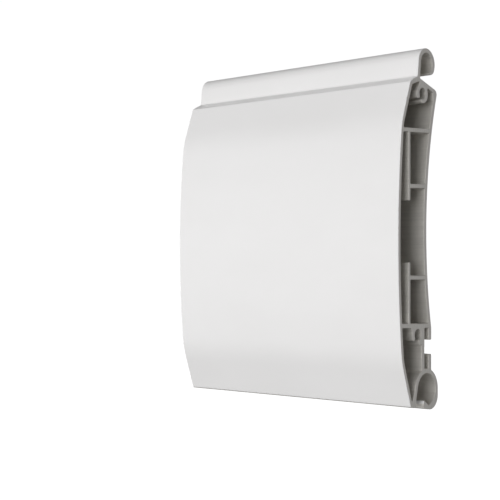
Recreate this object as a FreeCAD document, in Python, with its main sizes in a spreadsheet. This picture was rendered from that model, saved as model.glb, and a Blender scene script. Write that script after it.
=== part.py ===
import FreeCAD, Part
import math
import os
import Sketcher

# Extruded roller shutter slat with its end lock.
# Frame: the origin is the axis of the hinge hook at half length. +X runs
# along the slat towards the bare cut end, the coated front faces -Y, +Z is up.
# Depths are measured towards -Y from the hook axis, drops towards -Z.

os.makedirs("parts", exist_ok=True)
doc = FreeCAD.newDocument("roller_shutter_slat")
sheet = doc.addObject("Spreadsheet::Sheet", "Sizes")

TABLE = [
    ("slat_length", 91.0, "length of the cut slat"),
    ("cover_height", 100.0, "hook axis to socket axis"),
    # hinge hook and its plate
    ("hook_inner", 3.2, "inner radius of the hook"),
    ("hook_outer", 4.6, "outer radius of the hook"),
    ("plate_lean", 7.0, "degrees above the axis where the hook starts"),
    ("tip_inner_angle", 58.0, "degrees below the axis, hook end inside"),
    ("tip_outer_angle", 36.0, "degrees below the axis, hook end outside"),
    ("tip_corner_out", 2.42, "hook end corner, behind the axis"),
    ("tip_corner_drop", 3.36, "hook end corner, below the axis"),
    ("neck_front", 5.15, "depth of the plate foot, front"),
    ("neck_rear", 3.76, "depth of the plate foot, rear"),
    ("neck_drop", 4.62, "drop of the plate foot, front"),
    ("neck_rear_drop", 5.0, "drop of the plate foot, rear"),
    # front skin
    ("step_depth", 9.12, "depth of the lower edge of the step"),
    ("step_drop", 6.6, "drop of the lower edge of the step"),
    ("step_mid_depth", 7.05, "depth of the bend in the step"),
    ("step_mid_drop", 5.42, "drop of the bend in the step"),
    ("front_depth", 15.63, "deepest point of the bowed front"),
    ("front_mid_drop", 55.1, "drop of the deepest point"),
    ("front_bow", 333.0, "radius of the bowed front"),
    ("upper_crease_drop", 19.2, "upper crease of the front"),
    ("lower_crease_drop", 91.0, "lower crease of the front"),
    ("foot_depth", 8.85, "depth of the front bottom edge"),
    ("foot_drop", 104.85, "drop of the front bottom edge"),
    ("front_wall", 1.22, "front skin wall"),
    # back skin
    ("back_depth", 0.2, "depth of the hollow of the back"),
    ("back_mid_drop", 51.7, "drop of the hollow of the back"),
    ("back_bow", 155.3, "radius of the back"),
    ("back_wall", 1.45, "back skin wall"),
    ("shoulder_drop", 7.95, "drop of the rear shoulder corner"),
    # tee slot in the back
    ("arm_out", 2.63, "outer face of the slot arms behind the axis"),
    ("arm_in", 1.0, "inner face of the slot arms behind the axis"),
    ("slot_floor", 1.26, "depth of the slot floor"),
    ("slot_top_drop", 81.1, "top of the tee slot"),
    ("slot_low_drop", 93.6, "bottom of the tee slot"),
    ("mouth_top_drop", 84.82, "upper lip of the slot mouth"),
    ("mouth_low_drop", 89.15, "lower lip of the slot mouth"),
    ("slot_wall_depth", 2.85, "hollow side of the slot wall"),
    # hinge socket
    ("socket_inner", 5.0, "inner radius of the socket"),
    ("socket_outer", 6.42, "outer radius of the socket"),
    ("heel_radius", 4.2, "rounding of the heel under the socket"),
    ("heel_drop", 102.1, "drop of the heel's centre"),
    ("heel_end_angle", 98.0, "degrees below the axis, where the heel ends"),
    ("lip_under_drop", 105.8, "underside of the lip at its front face"),
    ("socket_back", 6.45, "radius of the socket wall inside the hollow"),
    ("lip_depth", 1.7, "front face of the inward lip"),
    ("lip_drop", 102.93, "top of the inward lip"),
    ("lip_root", 1.06, "where the lip runs into the socket"),
    ("leg_lean", 7.0, "degrees above the socket axis where the leg starts"),
    ("leg_depth", 5.8, "rear face of the leg"),
    ("leg_bend_drop", 102.6, "drop of the bend in the leg"),
    ("leg_drop", 105.2, "drop of the leg's rear bottom edge"),
    # ribs and webs
    ("rib_front", 10.15, "front face of the ribs"),
    ("rib_rear", 9.08, "rear face of the ribs"),
    ("upper_rib_end", 42.5, "free end of the upper rib"),
    ("lower_rib_end", 61.1, "free end of the lower rib"),
    ("web_one_front", 20.77, "top of the first web at the front skin"),
    ("web_one_rear", 20.0, "top of the first web at the back skin"),
    ("web_one_low_front", 22.06, "underside of the first web, front"),
    ("web_one_low_rib", 21.88, "underside of the first web at the rib"),
    ("web_one_low_rear", 21.25, "underside of the first web, rear"),
    ("web_two_rib", 37.48, "top of the second web at the rib"),
    ("web_two_rear", 37.12, "top of the second web, rear"),
    ("web_two_low_rib", 38.75, "underside of the second web at the rib"),
    ("web_two_low_rear", 38.35, "underside of the second web, rear"),
    ("web_three_top", 65.05, "top of the third web"),
    ("web_three_low", 66.3, "underside of the third web"),
    ("web_four_front", 79.39, "top of the fourth web, front"),
    ("web_four_rib", 79.5, "top of the fourth web at the rib"),
    ("web_four_rear", 79.83, "top of the fourth web, rear"),
    ("web_four_low", 80.73, "underside of the fourth web, front"),
    ("web_four_low_rib", 80.9, "underside of the fourth web at the port"),
    # screw ports
    ("port_radius", 1.75, "radius of the screw ports"),
    ("port_outer", 2.95, "outer radius of the upper port's arm"),
    ("upper_port_depth", 2.3, "upper port axis, depth"),
    ("upper_port_drop", 9.55, "upper port axis, drop"),
    ("lower_port_depth", 4.95, "lower port axis, depth"),
    ("lower_port_drop", 83.05, "lower port axis, drop"),
    ("formed_radius", 2.0, "radius of the formed thread"),
    ("formed_length", 14.0, "length of the formed thread"),
    # rounded long edges
    ("edge_round", 0.45, "rounding of the long outer edges"),
    ("shoulder_round", 1.5, "rounding of the rear shoulder"),
    ("foot_round", 0.75, "rounding of the front bottom edge"),
    ("neck_round", 0.7, "rounding between plate and step"),
    ("step_round", 2.5, "rounding of the bend in the step"),
    # end lock
    ("flange_wall", 2.0, "thickness of the end lock flange"),
    ("closing_wall", 0.8, "thickness of the plate that closes the front chambers"),
    ("closing_inset", 1.0, "that plate's edge behind the coated front"),
    ("tongue_length", 15.0, "length of the end lock tongue"),
    ("tongue_front", 12.7, "front face of the tongue"),
    ("tongue_rear", 10.4, "rear face of the tongue"),
    ("tongue_top", 26.0, "top of the tongue"),
    ("tongue_low", 76.5, "bottom of the tongue"),
    ("tongue_round", 0.8, "rounding of the tongue corners"),
    ("screw_hole", 2.2, "radius of the screw holes in the flange"),
    # screws
    ("head_radius", 3.5, "radius of the screw head"),
    ("head_height", 2.3, "height of the screw head"),
    ("recess_radius", 1.3, "radius of the six-point recess"),
    ("recess_depth", 1.3, "depth of the six-point recess"),
    ("screw_length", 14.0, "length under the head"),
    ("point_length", 1.6, "length of the screw point"),
    ("point_radius", 1.2, "radius of the screw point"),
]

for row, (alias, value, note) in enumerate(TABLE, start=1):
    sheet.set("A%d" % row, note)
    sheet.set("B%d" % row, str(value))
    sheet.setAlias("B%d" % row, alias)
doc.recompute()


class Size:
    """A number together with the sheet expression that drives it."""

    def __init__(self, value, text):
        self.value = float(value)
        self.text = text

    @staticmethod
    def of(other):
        if isinstance(other, Size):
            return other
        return Size(other, "%.6f" % other if other >= 0 else "(%.6f)" % other)

    def __add__(self, other):
        other = Size.of(other)
        return Size(self.value + other.value, "(%s + %s)" % (self.text, other.text))

    def __radd__(self, other):
        return Size.of(other) + self

    def __sub__(self, other):
        other = Size.of(other)
        return Size(self.value - other.value, "(%s - %s)" % (self.text, other.text))

    def __rsub__(self, other):
        return Size.of(other) - self

    def __mul__(self, other):
        other = Size.of(other)
        return Size(self.value * other.value, "(%s * %s)" % (self.text, other.text))

    def __rmul__(self, other):
        return Size.of(other) * self

    def __neg__(self):
        return Size(-self.value, "(-1 * %s)" % self.text)


def root(size):
    return Size(math.sqrt(size.value), "sqrt(%s)" % size.text)


def cosine(size):
    return Size(math.cos(math.radians(size.value)), "cos(%s)" % size.text)


def sine(size):
    return Size(math.sin(math.radians(size.value)), "sin(%s)" % size.text)


S = {alias: Size(value, "Sizes.%s" % alias) for alias, value, note in TABLE}


def z(alias):
    """Height of a drop."""
    return -S[alias]


def y(alias):
    """Position of a depth."""
    return -S[alias]


# circles the skins follow: centre (y, z) and radius
front_centre = (S["front_bow"] - S["front_depth"], z("front_mid_drop"))
front_inner = S["front_bow"] - S["front_wall"]
back_centre = (S["back_bow"] - S["back_depth"], z("back_mid_drop"))
back_inner = S["back_bow"] + S["back_wall"]
socket_z = -S["cover_height"]


def on_bow(centre, radius, height):
    """Position of the front side of a large circle at a height."""
    drop = height - centre[1]
    return centre[0] - root(radius * radius - drop * drop)


def front_out(height):
    return on_bow(front_centre, S["front_bow"], height)


def front_in(height):
    return on_bow(front_centre, front_inner, height)


def back_out(height):
    return on_bow(back_centre, S["back_bow"], height)


def back_in(height):
    return on_bow(back_centre, back_inner, height)


def round_point(centre_y, centre_z, radius, degrees):
    """Point on a circle, angle in degrees from +Y towards +Z."""
    angle = Size.of(degrees)
    return (centre_y + radius * cosine(angle), centre_z + radius * sine(angle))


def plane_of(body, role):
    for feature in body.Origin.OriginFeatures:
        if feature.Role == role:
            return feature
    raise RuntimeError("no plane " + role)


def arc_between(start, end, centre, clockwise):
    """Circle arc from start to end around centre, as geometry and flag."""
    radius = math.hypot(start[0] - centre[0], start[1] - centre[1])
    first = math.atan2(start[1] - centre[1], start[0] - centre[0])
    last = math.atan2(end[1] - centre[1], end[0] - centre[0])
    if clockwise:
        first, last = last, first
    while last <= first:
        last += 2 * math.pi
    circle = Part.Circle(FreeCAD.Vector(centre[0], centre[1], 0), FreeCAD.Vector(0, 0, 1), radius)
    return Part.ArcOfCircle(circle, first, last)


def outline(sketch, name, path):
    """Closed outline. Each entry is (y, z) for a straight run to the next
    point, or (y, z, radius, centre_y, centre_z, clockwise) for an arc."""
    count = len(path)
    ids = []
    for index, entry in enumerate(path):
        nxt = path[(index + 1) % count]
        start = (entry[0].value, entry[1].value)
        end = (nxt[0].value, nxt[1].value)
        if len(entry) == 2:
            shape = Part.LineSegment(FreeCAD.Vector(start[0], start[1], 0), FreeCAD.Vector(end[0], end[1], 0))
            ids.append((sketch.addGeometry(shape, False), 1, 2, entry))
        else:
            centre = (entry[3].value, entry[4].value)
            shape = arc_between(start, end, centre, entry[5])
            first, last = (2, 1) if entry[5] else (1, 2)
            ids.append((sketch.addGeometry(shape, False), first, last, entry))
    for index in range(count):
        gid, first, last, entry = ids[index]
        other = ids[(index + 1) % count]
        sketch.addConstraint(Sketcher.Constraint("Coincident", gid, last, other[0], other[1]))
    for index in range(count):
        gid, first, last, entry = ids[index]
        for axis, size in (("X", entry[0]), ("Y", entry[1])):
            number = sketch.addConstraint(Sketcher.Constraint("Distance" + axis, gid, first, size.value))
            label = "%s%d%s" % (name, index, axis.lower())
            sketch.renameConstraint(number, label)
            sketch.setExpression("Constraints." + label, size.text)
        if len(entry) > 2:
            number = sketch.addConstraint(Sketcher.Constraint("Radius", gid, entry[2].value))
            label = "%s%dr" % (name, index)
            sketch.renameConstraint(number, label)
            sketch.setExpression("Constraints." + label, entry[2].text)


def ring(sketch, name, centre_y, centre_z, radius):
    """Circle with its centre and radius bound to the sheet."""
    gid = sketch.addGeometry(Part.Circle(FreeCAD.Vector(centre_y.value, centre_z.value, 0),
                                         FreeCAD.Vector(0, 0, 1), radius.value), False)
    for kind, size in (("DistanceX", centre_y), ("DistanceY", centre_z)):
        number = sketch.addConstraint(Sketcher.Constraint(kind, gid, 3, size.value))
        label = name + kind[-1].lower()
        sketch.renameConstraint(number, label)
        sketch.setExpression("Constraints." + label, size.text)
    number = sketch.addConstraint(Sketcher.Constraint("Radius", gid, radius.value))
    sketch.renameConstraint(number, name + "r")
    sketch.setExpression("Constraints." + name + "r", radius.text)


def section_sketch(body, name, station):
    """Sketch across the slat, its plane at the given X."""
    sketch = body.newObject("Sketcher::SketchObject", name)
    sketch.AttachmentSupport = (plane_of(body, "YZ_Plane"), [""])
    sketch.MapMode = "FlatFace"
    sketch.setExpression("AttachmentOffset.Base.z", station.text)
    return sketch


def pad(body, name, sketch, length, reverse=False):
    feature = body.newObject("PartDesign::Pad", name)
    feature.Profile = sketch
    feature.setExpression("Length", length.text)
    feature.Reversed = reverse
    return feature


def pocket(body, name, sketch, length, reverse):
    """Cut whose direction is proved by the volume it removes."""
    doc.recompute()
    before = body.Shape.Volume
    feature = body.newObject("PartDesign::Pocket", name)
    feature.Profile = sketch
    feature.setExpression("Length", length.text)
    feature.Reversed = reverse
    doc.recompute()
    if body.Shape.Volume >= before - 1e-6:
        raise RuntimeError("pocket %s cuts nothing" % name)
    return feature


near_end = S["slat_length"] * 0.5
far_end = -near_end

# ---------------------------------------------------------------- slat
slat = doc.addObject("PartDesign::Body", "slat_extrusion")
slat.Label = "slat_extrusion"

zero = Size(0.0, "0")
hook_start = (-(S["hook_outer"] * cosine(S["plate_lean"])), S["hook_outer"] * sine(S["plate_lean"]))
hook_inside = (-(S["hook_inner"] * cosine(S["plate_lean"])), S["hook_inner"] * sine(S["plate_lean"]))
tip_inner = (S["hook_inner"] * cosine(S["tip_inner_angle"]), -(S["hook_inner"] * sine(S["tip_inner_angle"])))
tip_outer = (S["hook_outer"] * cosine(S["tip_outer_angle"]), -(S["hook_outer"] * sine(S["tip_outer_angle"])))
shoulder = (back_out(z("shoulder_drop")), z("shoulder_drop"))
arm_reach = back_centre[0] - S["arm_out"]
arm_top = back_centre[1] - root(S["back_bow"] * S["back_bow"] - arm_reach * arm_reach)
arm_foot = socket_z + root(S["socket_outer"] * S["socket_outer"] - S["arm_out"] * S["arm_out"])
heel_y = S["socket_outer"] - S["heel_radius"]
heel_end = (heel_y + S["heel_radius"] * cosine(S["heel_end_angle"]), z("heel_drop") - S["heel_radius"] * sine(S["heel_end_angle"]))
lip_root_z = socket_z - root(S["socket_inner"] * S["socket_inner"] - S["lip_root"] * S["lip_root"])
leg_start = (-(S["socket_inner"] * cosine(S["leg_lean"])), socket_z + S["socket_inner"] * sine(S["leg_lean"]))
crease_up = (front_out(z("upper_crease_drop")), z("upper_crease_drop"))
crease_low = (front_out(z("lower_crease_drop")), z("lower_crease_drop"))

outer = [
    (y("neck_front"), z("neck_drop")),
    (hook_start[0], hook_start[1], S["hook_outer"], zero, zero, True),
    tip_outer,
    (S["tip_corner_out"], -S["tip_corner_drop"]),
    (tip_inner[0], tip_inner[1], S["hook_inner"], zero, zero, False),
    hook_inside,
    (y("neck_rear"), z("neck_rear_drop")),
    (shoulder[0], shoulder[1], S["back_bow"], back_centre[0], back_centre[1], False),
    (S["arm_out"], arm_top),
    (S["arm_out"], z("mouth_top_drop")),
    (S["arm_in"], z("mouth_top_drop")),
    (S["arm_in"], z("slot_top_drop")),
    (y("slot_floor"), z("slot_top_drop")),
    (y("slot_floor"), z("slot_low_drop")),
    (S["arm_in"], z("slot_low_drop")),
    (S["arm_in"], z("mouth_low_drop")),
    (S["arm_out"], z("mouth_low_drop")),
    (S["arm_out"], arm_foot, S["socket_outer"], zero, socket_z, True),
    (S["socket_outer"], socket_z),
    (S["socket_outer"], z("heel_drop"), S["heel_radius"], heel_y, z("heel_drop"), True),
    heel_end,
    (y("lip_depth"), z("lip_under_drop")),
    (y("lip_depth"), z("lip_drop")),
    (S["lip_root"], lip_root_z, S["socket_inner"], zero, socket_z, False),
    leg_start,
    (y("leg_depth"), z("leg_bend_drop")),
    (y("leg_depth"), z("leg_drop")),
    (y("foot_depth"), z("foot_drop")),
    (crease_low[0], crease_low[1], S["front_bow"], front_centre[0], front_centre[1], True),
    crease_up,
    (y("step_depth"), z("step_drop")),
    (y("step_mid_depth"), z("step_mid_drop")),
]
outer_sketch = section_sketch(slat, "slat_outline", far_end)
outline(outer_sketch, "o", outer)
pad(slat, "slat_pad", outer_sketch, S["slat_length"])
doc.recompute()

# rounded long edges of the outline
def long_edges(body, places):
    """Names of the edges along X that pass through the given (y, z)."""
    found = []
    for place in places:
        best = None
        for index, edge in enumerate(body.Shape.Edges, start=1):
            box = edge.BoundBox
            if box.XLength < 1.0:
                continue
            gap = math.hypot(box.Center.y - place[0].value, box.Center.z - place[1].value)
            if box.YLength < 1e-3 and box.ZLength < 1e-3 and (best is None or gap < best[0]):
                best = (gap, "Edge%d" % index)
        if best is None or best[0] > 1e-3:
            raise RuntimeError("no long edge near %.2f, %.2f" % (place[0].value, place[1].value))
        found.append(best[1])
    return found


rounded = slat.newObject("PartDesign::Fillet", "outer_rounds")
rounded.Base = (slat.getObject("slat_pad"), long_edges(slat, [
    outer[3], outer[6], outer[9], outer[10], outer[15], outer[16], outer[21],
    outer[22], outer[26], outer[30]]))
rounded.setExpression("Radius", S["edge_round"].text)
doc.recompute()
shouldered = slat.newObject("PartDesign::Fillet", "shoulder_round")
shouldered.Base = (rounded, long_edges(slat, [shoulder]))
shouldered.setExpression("Radius", S["shoulder_round"].text)
doc.recompute()
necked = slat.newObject("PartDesign::Fillet", "neck_round")
necked.Base = (shouldered, long_edges(slat, [outer[0]]))
necked.setExpression("Radius", S["neck_round"].text)
doc.recompute()
footed = slat.newObject("PartDesign::Fillet", "foot_round")
footed.Base = (necked, long_edges(slat, [outer[27]]))
footed.setExpression("Radius", S["foot_round"].text)
doc.recompute()
stepped = slat.newObject("PartDesign::Fillet", "step_round")
stepped.Base = (footed, long_edges(slat, [outer[31]]))
stepped.setExpression("Radius", S["step_round"].text)
doc.recompute()

# top chamber with the upper screw port
up_y, up_z = y("upper_port_depth"), z("upper_port_drop")
port_r = S["port_radius"]
arm_a = round_point(up_y, up_z, S["port_outer"], 30.0)
arm_b = round_point(up_y, up_z, S["port_outer"], -105.0)
bore_a = round_point(up_y, up_z, port_r, -110.0)
bore_b = round_point(up_y, up_z, port_r, 205.0)


def fixed(depth, drop):
    """A station given relative to the upper port axis."""
    return (up_y + Size.of(depth), up_z + Size.of(drop))


top_chamber = [
    fixed(-1.4, 3.72),
    fixed(-5.73, 2.14),
    (front_in(z("upper_crease_drop") - Size.of(0.3)), z("upper_crease_drop") - Size.of(0.3),
     front_inner, front_centre[0], front_centre[1], False),
    (front_in(z("web_one_front")), z("web_one_front")),
    (back_in(z("web_one_rear")), z("web_one_rear"), back_inner, back_centre[0], back_centre[1], True),
    (back_in(up_z - Size.of(1.4)), up_z - Size.of(1.4)),
    fixed(5.85, 1.0),
    fixed(2.95, 1.95),
    (arm_a[0], arm_a[1], S["port_outer"], up_y, up_z, True),
    arm_b,
    fixed(-1.05, -2.2),
    (bore_a[0], bore_a[1], port_r, up_y, up_z, False),
    bore_b,
    fixed(-1.65, -1.6),
    fixed(-3.15, -1.6),
    fixed(-3.4, -0.65),
    fixed(-3.2, 0.65),
    fixed(-2.1, 2.3),
]
sketch = section_sketch(slat, "top_chamber", far_end)
outline(sketch, "t", top_chamber)
pocket(slat, "top_chamber_cut", sketch, S["slat_length"], True)

# closed cell between the first and second webs
upper_cell = [
    (y("rib_rear"), z("web_one_low_rib")),
    (y("rib_rear"), z("web_two_rib")),
    (back_in(z("web_two_rear")), z("web_two_rear"), back_inner, back_centre[0], back_centre[1], True),
    (back_in(z("web_one_low_rear")), z("web_one_low_rear")),
]
sketch = section_sketch(slat, "upper_cell", far_end)
outline(sketch, "u", upper_cell)
pocket(slat, "upper_cell_cut", sketch, S["slat_length"], True)

# middle chamber with the two pockets behind the front skin
middle = [
    (front_in(z("web_one_low_front")), z("web_one_low_front"), front_inner,
     front_centre[0], front_centre[1], False),
    (front_in(z("web_four_front")), z("web_four_front")),
    (y("rib_front"), z("web_four_rib")),
    (y("rib_front"), z("lower_rib_end")),
    (y("rib_rear"), z("lower_rib_end")),
    (y("rib_rear"), z("web_three_top")),
    (back_in(z("web_three_top")), z("web_three_top"), back_inner, back_centre[0], back_centre[1], True),
    (back_in(z("web_two_low_rear")), z("web_two_low_rear")),
    (y("rib_rear"), z("web_two_low_rib")),
    (y("rib_rear"), z("upper_rib_end")),
    (y("rib_front"), z("upper_rib_end")),
    (y("rib_front"), z("web_one_low_rib")),
]
sketch = section_sketch(slat, "middle_chamber", far_end)
outline(sketch, "m", middle)
pocket(slat, "middle_chamber_cut", sketch, S["slat_length"], True)

# closed cell between the third and fourth webs
lower_cell = [
    (y("rib_rear"), z("web_three_low")),
    (y("rib_rear"), z("web_four_rib")),
    (back_in(z("web_four_rear")), z("web_four_rear"), back_inner, back_centre[0], back_centre[1], True),
    (back_in(z("web_three_low")), z("web_three_low")),
]
sketch = section_sketch(slat, "lower_cell", far_end)
outline(sketch, "l", lower_cell)
pocket(slat, "lower_cell_cut", sketch, S["slat_length"], True)

# bottom chamber with the lower screw port
low_y, low_z = y("lower_port_depth"), z("lower_port_drop")
low_a = round_point(low_y, low_z, port_r, 285.0)
low_b = round_point(low_y, low_z, port_r, 216.0)
wall_foot = socket_z + root(S["socket_back"] * S["socket_back"] - S["slot_wall_depth"] * S["slot_wall_depth"])


def beside(depth, drop):
    """A station given relative to the lower port axis."""
    return (low_y + Size.of(depth), low_z + Size.of(drop))


def by_socket(depth, drop):
    """A station given relative to the socket axis."""
    return (Size.of(depth) + zero, socket_z + Size.of(drop))


bottom_chamber = [
    (front_in(z("web_four_low")), z("web_four_low"), front_inner, front_centre[0], front_centre[1], False),
    (front_in(z("lower_crease_drop") + Size.of(0.3)), z("lower_crease_drop") + Size.of(0.3)),
    by_socket(-8.42, -2.45),
    by_socket(-8.05, -3.1),
    by_socket(-7.6, -2.7),
    by_socket(-6.9, -1.3),
    (-S["socket_back"], socket_z, S["socket_back"], zero, socket_z, True),
    (y("slot_wall_depth"), wall_foot),
    (y("slot_wall_depth"), low_z - Size.of(3.0)),
    beside(0.75, -3.15),
    (low_a[0], low_a[1], port_r, low_y, low_z, False),
    low_b,
    beside(-1.9, -1.95),
    beside(-2.7, -1.6),
    beside(-3.05, -0.3),
    beside(-3.2, 1.1),
    (low_y - Size.of(3.9), z("web_four_low_rib")),
]
sketch = section_sketch(slat, "bottom_chamber", far_end)
outline(sketch, "b", bottom_chamber)
pocket(slat, "bottom_chamber_cut", sketch, S["slat_length"], True)

# thread formed by the screws at the far end of both ports
sketch = section_sketch(slat, "formed_threads", far_end)
ring(sketch, "fu", up_y, up_z, S["formed_radius"])
ring(sketch, "fl", low_y, low_z, S["formed_radius"])
pocket(slat, "formed_threads_cut", sketch, S["formed_length"], True)
slat.Tip = slat.getObject("formed_threads_cut")

# ---------------------------------------------------------------- end lock
lock = doc.addObject("PartDesign::Body", "end_lock")
lock.Label = "end_lock"

flange_front = Size.of(2.35)
flange_bow = front_centre[0], front_centre[1], S["front_bow"] - flange_front
socket_flange = S["socket_outer"] - Size.of(0.3)
arm_flange = S["arm_out"] - Size.of(0.3)
back_flange = S["back_bow"] + Size.of(0.3)
flange_low = socket_z - Size.of(4.5)


def flange_at(height):
    return on_bow(front_centre, S["front_bow"] - flange_front, height)


def back_flange_at(height):
    return on_bow(back_centre, back_flange, height)


flange = [
    (y("step_depth") + Size.of(2.6), z("step_drop") - Size.of(1.2)),
    (y("neck_rear"), z("neck_rear_drop") - Size.of(0.65)),
    (back_flange_at(z("shoulder_drop") - Size.of(0.8)) - Size.of(0.6), z("shoulder_drop") - Size.of(0.3)),
    (back_flange_at(z("shoulder_drop") - Size.of(1.8)), z("shoulder_drop") - Size.of(1.8),
     back_flange, back_centre[0], back_centre[1], False),
    (back_flange_at(z("slot_top_drop")), z("slot_top_drop")),
    (arm_flange, z("slot_top_drop") - Size.of(0.8)),
    (arm_flange, socket_z + root(socket_flange * socket_flange - arm_flange * arm_flange),
     socket_flange, zero, socket_z, True),
    (root(socket_flange * socket_flange - Size.of(4.5) * Size.of(4.5)), flange_low),
    (y("leg_depth") - Size.of(0.6), flange_low),
    (flange_at(z("lower_crease_drop")), z("lower_crease_drop"), flange_bow[2], flange_bow[0], flange_bow[1], True),
    (flange_at(z("upper_crease_drop")), z("upper_crease_drop")),
]
sketch = section_sketch(lock, "flange_outline", far_end)
outline(sketch, "f", flange)
pad(lock, "flange_pad", sketch, S["flange_wall"], True)
doc.recompute()

# thinner plate against the cut, reaching over the inner edge of the front wall
closing_bow = front_centre[0], front_centre[1], S["front_bow"] - S["closing_inset"]
closing = [
    (y("step_depth") + Size.of(0.87), z("step_drop") - Size.of(0.6)),
    flange[1],
    flange[2],
    flange[3],
    flange[4],
    flange[5],
    flange[6],
    flange[7],
    (y("leg_depth") - Size.of(2.1), flange_low + Size.of(0.1)),
    (on_bow(front_centre, closing_bow[2], z("lower_crease_drop")), z("lower_crease_drop"),
     closing_bow[2], closing_bow[0], closing_bow[1], True),
    (on_bow(front_centre, closing_bow[2], z("upper_crease_drop")), z("upper_crease_drop")),
]
sketch = section_sketch(lock, "closing_outline", far_end)
outline(sketch, "c", closing)
pad(lock, "closing_pad", sketch, S["closing_wall"], True)
doc.recompute()

tongue = [
    (y("tongue_front"), z("tongue_top")),
    (y("tongue_rear"), z("tongue_top")),
    (y("tongue_rear"), z("tongue_low")),
    (y("tongue_front"), z("tongue_low")),
]
sketch = section_sketch(lock, "tongue_outline", far_end)
outline(sketch, "g", tongue)
pad(lock, "tongue_pad", sketch, S["tongue_length"])
doc.recompute()

sketch = section_sketch(lock, "screw_holes", far_end)
ring(sketch, "hu", up_y, up_z, S["screw_hole"])
ring(sketch, "hl", low_y, low_z, S["screw_hole"])
hole_cut = pocket(lock, "screw_holes_cut", sketch, S["flange_wall"], False)

# rounded free end of the tongue and bevelled outer rim of the flange
free_corners = []
for index, edge in enumerate(lock.Shape.Edges, start=1):
    box = edge.BoundBox
    if box.XLength < 1e-3 and abs(box.XMin - (far_end.value + S["tongue_length"].value)) < 1e-3 and box.ZLength < 1e-3:
        free_corners.append("Edge%d" % index)
tongue_ends = lock.newObject("PartDesign::Fillet", "tongue_ends")
tongue_ends.Base = (hole_cut, free_corners)
tongue_ends.setExpression("Radius", S["tongue_round"].text)
doc.recompute()
lock.Tip = tongue_ends

# ---------------------------------------------------------------- screws
def end_screw(name, at_y, at_z):
    """Pan head screw lying along X, its bearing face on the flange."""
    body = doc.addObject("PartDesign::Body", name)
    body.Label = name
    half = body.newObject("Sketcher::SketchObject", name + "_profile")
    half.AttachmentSupport = (plane_of(body, "XY_Plane"), [""])
    half.MapMode = "FlatFace"
    head_low = S["head_radius"] - Size.of(0.9)
    shank = S["formed_radius"]
    outline(half, "s", [
        (-S["head_height"], zero + Size.of(0.0)),
        (-S["head_height"], head_low),
        (-S["head_height"] + Size.of(0.75), S["head_radius"] - Size.of(0.15)),
        (-Size.of(0.35) + zero, S["head_radius"] + zero),
        (zero + Size.of(0.0), S["head_radius"] + zero),
        (zero + Size.of(0.0), shank + zero),
        (S["screw_length"] - S["point_length"], shank + zero),
        (S["screw_length"] + zero, S["point_radius"] + zero),
        (S["screw_length"] + zero, zero + Size.of(0.0)),
    ])
    turned = body.newObject("PartDesign::Revolution", name + "_turned")
    turned.Profile = half
    turned.ReferenceAxis = (half, ["H_Axis"])
    turned.Angle = 360.0
    doc.recompute()
    star = body.newObject("Sketcher::SketchObject", name + "_recess")
    star.AttachmentSupport = (plane_of(body, "YZ_Plane"), [""])
    star.MapMode = "FlatFace"
    star.setExpression("AttachmentOffset.Base.z", (-S["head_height"]).text)
    points = []
    for step in range(12):
        reach = S["recess_radius"] * (1.0 if step % 2 == 0 else 0.72)
        points.append(round_point(zero, zero, reach, 30.0 * step))
    outline(star, "r", points)
    pocket(body, name + "_recess_cut", star, S["recess_depth"], True)
    body.Tip = body.getObject(name + "_recess_cut")
    body.setExpression("Placement.Base.x", (far_end - S["flange_wall"]).text)
    body.setExpression("Placement.Base.y", at_y.text)
    body.setExpression("Placement.Base.z", at_z.text)
    return body


upper_screw = end_screw("upper_end_screw", up_y, up_z)
lower_screw = end_screw("lower_end_screw", low_y, low_z)

doc.recompute()

for item in doc.Objects:
    if "Invalid" in item.State or "Error" in item.State:
        raise RuntimeError("%s did not build: %s" % (item.Name, item.State))

for body in (slat, lock, upper_screw, lower_screw):
    shape = body.Shape
    if shape.isNull() or not shape.isValid() or len(shape.Solids) != 1:
        raise RuntimeError("%s is not one valid solid" % body.Label)
    box = shape.BoundBox
    print("%-18s volume %9.2f mm3  x %.2f..%.2f  y %.2f..%.2f  z %.2f..%.2f" % (
        body.Label, shape.Volume, box.XMin, box.XMax, box.YMin, box.YMax, box.ZMin, box.ZMax))
    shape.exportStep("parts/%s.step" % body.Label)
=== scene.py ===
import math

import bmesh
import bpy
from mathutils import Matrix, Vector
from mathutils.geometry import tessellate_polygon


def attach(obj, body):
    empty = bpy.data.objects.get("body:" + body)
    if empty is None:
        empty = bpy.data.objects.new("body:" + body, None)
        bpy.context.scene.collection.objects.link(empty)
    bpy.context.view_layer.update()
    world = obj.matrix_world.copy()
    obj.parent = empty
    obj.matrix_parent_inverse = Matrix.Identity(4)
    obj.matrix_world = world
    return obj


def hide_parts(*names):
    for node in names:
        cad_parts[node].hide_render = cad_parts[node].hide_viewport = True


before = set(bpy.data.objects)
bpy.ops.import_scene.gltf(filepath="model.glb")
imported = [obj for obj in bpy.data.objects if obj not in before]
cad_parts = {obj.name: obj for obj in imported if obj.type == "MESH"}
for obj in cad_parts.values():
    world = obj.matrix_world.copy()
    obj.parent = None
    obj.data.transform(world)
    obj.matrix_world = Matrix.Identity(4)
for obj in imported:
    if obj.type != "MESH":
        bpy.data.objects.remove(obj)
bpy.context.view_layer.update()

# Extruded roller shutter slat. Section stations are (y, z) in millimetres in
# the row frame; lengths along X too. MM turns them into metres.
MM = 0.001
HALF = 45.5          # half length of the slat
DEBURR = 0.10        # broken edge at the saw cuts
COAT_SKIN = 0.10     # thickness of the coat where the saw cut it


# ------------------------------------------------------------ outlines
def cosd(a):
    return math.cos(math.radians(a))


def sind(a):
    return math.sin(math.radians(a))


def on_bow(cy, cz, r, z):
    """Front side of a large circle at a height."""
    return cy - math.sqrt(r * r - (z - cz) ** 2)


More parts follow.
